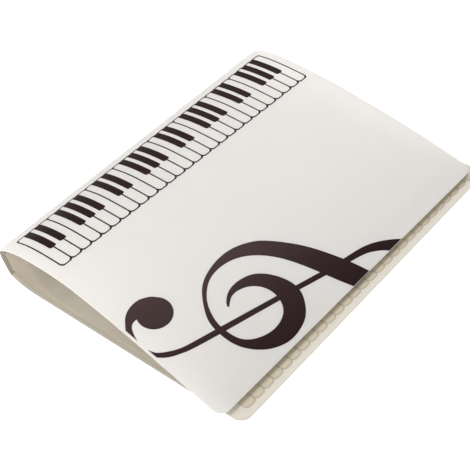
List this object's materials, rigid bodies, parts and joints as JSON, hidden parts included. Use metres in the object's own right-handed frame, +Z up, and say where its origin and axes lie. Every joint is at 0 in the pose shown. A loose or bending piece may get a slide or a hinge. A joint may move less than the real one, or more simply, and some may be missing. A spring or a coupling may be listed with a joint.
{
  "type": "music folder",
  "caption": "Soft plastic display folder for sheet music with welded clear pockets, printed with a keyboard strip and a treble clef; both covers fold along the spine.",
  "frame": {"origin": "under the middle of the closed folder, on the surface it lies on", "axes": "+X from the spine to the fore-edge, +Y up the page from bottom edge to top edge, +Z up through the closed folder"},
  "size_m": [0.2468, 0.3168, 0.0475],
  "materials": {
    "sheet": "fine sand-matt polypropylene",
    "pocket_film": "thin clear film, seen in layers",
    "ink": "satin screen print"
  },
  "bodies": {
    "spine": {"spine": "sheet", "pocket_leaves": "pocket_film"},
    "front_cover": {"front_cover": "sheet", "front_keyboard_print": "ink", "front_clef_print": "ink", "front_clef_hook_print": "ink"},
    "back_cover": {"back_cover": "sheet"}
  },
  "joints": [
    {"name": "front_cover_fold", "type": "hinge", "parent": "spine", "child": "front_cover", "pos_m": [-0.12342, 0, 0.031], "axis": [0, -1, 0], "range_deg": [0, 180]},
    {"name": "back_cover_fold", "type": "hinge", "parent": "spine", "child": "back_cover", "pos_m": [-0.11843, 0, 0.0065], "axis": [0, 1, 0], "range_deg": [0, 180]}
  ]
}
